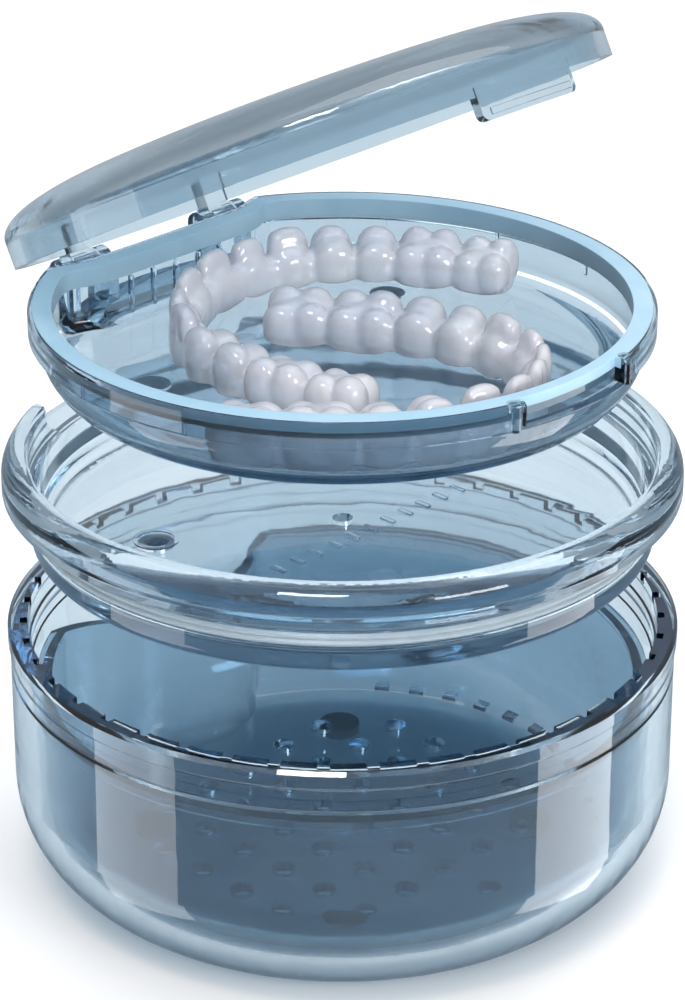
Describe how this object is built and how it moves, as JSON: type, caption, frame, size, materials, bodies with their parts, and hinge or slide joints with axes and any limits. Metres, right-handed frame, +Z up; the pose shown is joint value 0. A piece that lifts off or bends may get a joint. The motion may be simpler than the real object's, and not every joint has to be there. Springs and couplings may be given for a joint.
{
  "type": "mouthguard case",
  "caption": "Round carry case for clear bite guards, shown pulled apart: soaking cup with strainer basket, dock dish, and a shallow tray with hinged lid, gasket and guards inside.",
  "frame": {"origin": "centre of the soaking cup's underside, on the surface it stands on", "axes": "+Z up along the stack's axis, +Y towards the lid's hinge, +X to the right when facing the hinge from the latch"},
  "size_m": [0.092, 0.092, 0.1254],
  "materials": {
    "cup_plastic": "glossy, translucent",
    "basket_plastic": "glossy, translucent",
    "dock_plastic": "glossy, translucent",
    "tray_plastic": "glossy, translucent",
    "lid_plastic": "glossy, translucent",
    "gasket_silicone": "satin",
    "seal_silicone": "satin",
    "magnet_metal": "satin",
    "pin_steel": "polished",
    "aligner_plastic": "glossy, translucent"
  },
  "bodies": {
    "cup": {"soaking_cup": "cup_plastic"},
    "basket": {"strainer_basket": "basket_plastic"},
    "dock": {"dock_dish": "dock_plastic", "dock_seal_ring": "seal_silicone", "dock_magnet_left": "magnet_metal", "dock_magnet_right": "magnet_metal"},
    "case": {"case_tray": "tray_plastic", "tray_gasket": "gasket_silicone", "tray_magnet_left": "magnet_metal", "tray_magnet_right": "magnet_metal", "hinge_pin_left": "pin_steel", "hinge_pin_right": "pin_steel"},
    "lid": {"case_lid": "lid_plastic"},
    "upper_aligner": {"upper_aligner": "aligner_plastic"},
    "lower_aligner": {"lower_aligner": "aligner_plastic"}
  },
  "joints": [
    {"name": "basket_lift", "type": "slide", "parent": "cup", "child": "basket", "axis": [0, 0, 1], "range_m": [0, 0.018]},
    {"name": "dock_lift", "type": "slide", "parent": "cup", "child": "dock", "axis": [0, 0, 1], "range_m": [-0.0198, 0.02]},
    {"name": "case_lift", "type": "slide", "parent": "dock", "child": "case", "axis": [0, 0, 1], "range_m": [-0.0205, 0.02]},
    {"name": "lid_hinge", "type": "hinge", "parent": "case", "child": "lid", "pos_m": [0, 0.037, 0.0822], "axis": [-1, 0, 0], "range_deg": [-28, 62]},
    {"name": "upper_aligner_lift", "type": "slide", "parent": "case", "child": "upper_aligner", "axis": [0, 0, 1], "range_m": [0, 0.008]},
    {"name": "lower_aligner_lift", "type": "slide", "parent": "case", "child": "lower_aligner", "axis": [0, 0, 1], "range_m": [0, 0.014]}
  ]
}
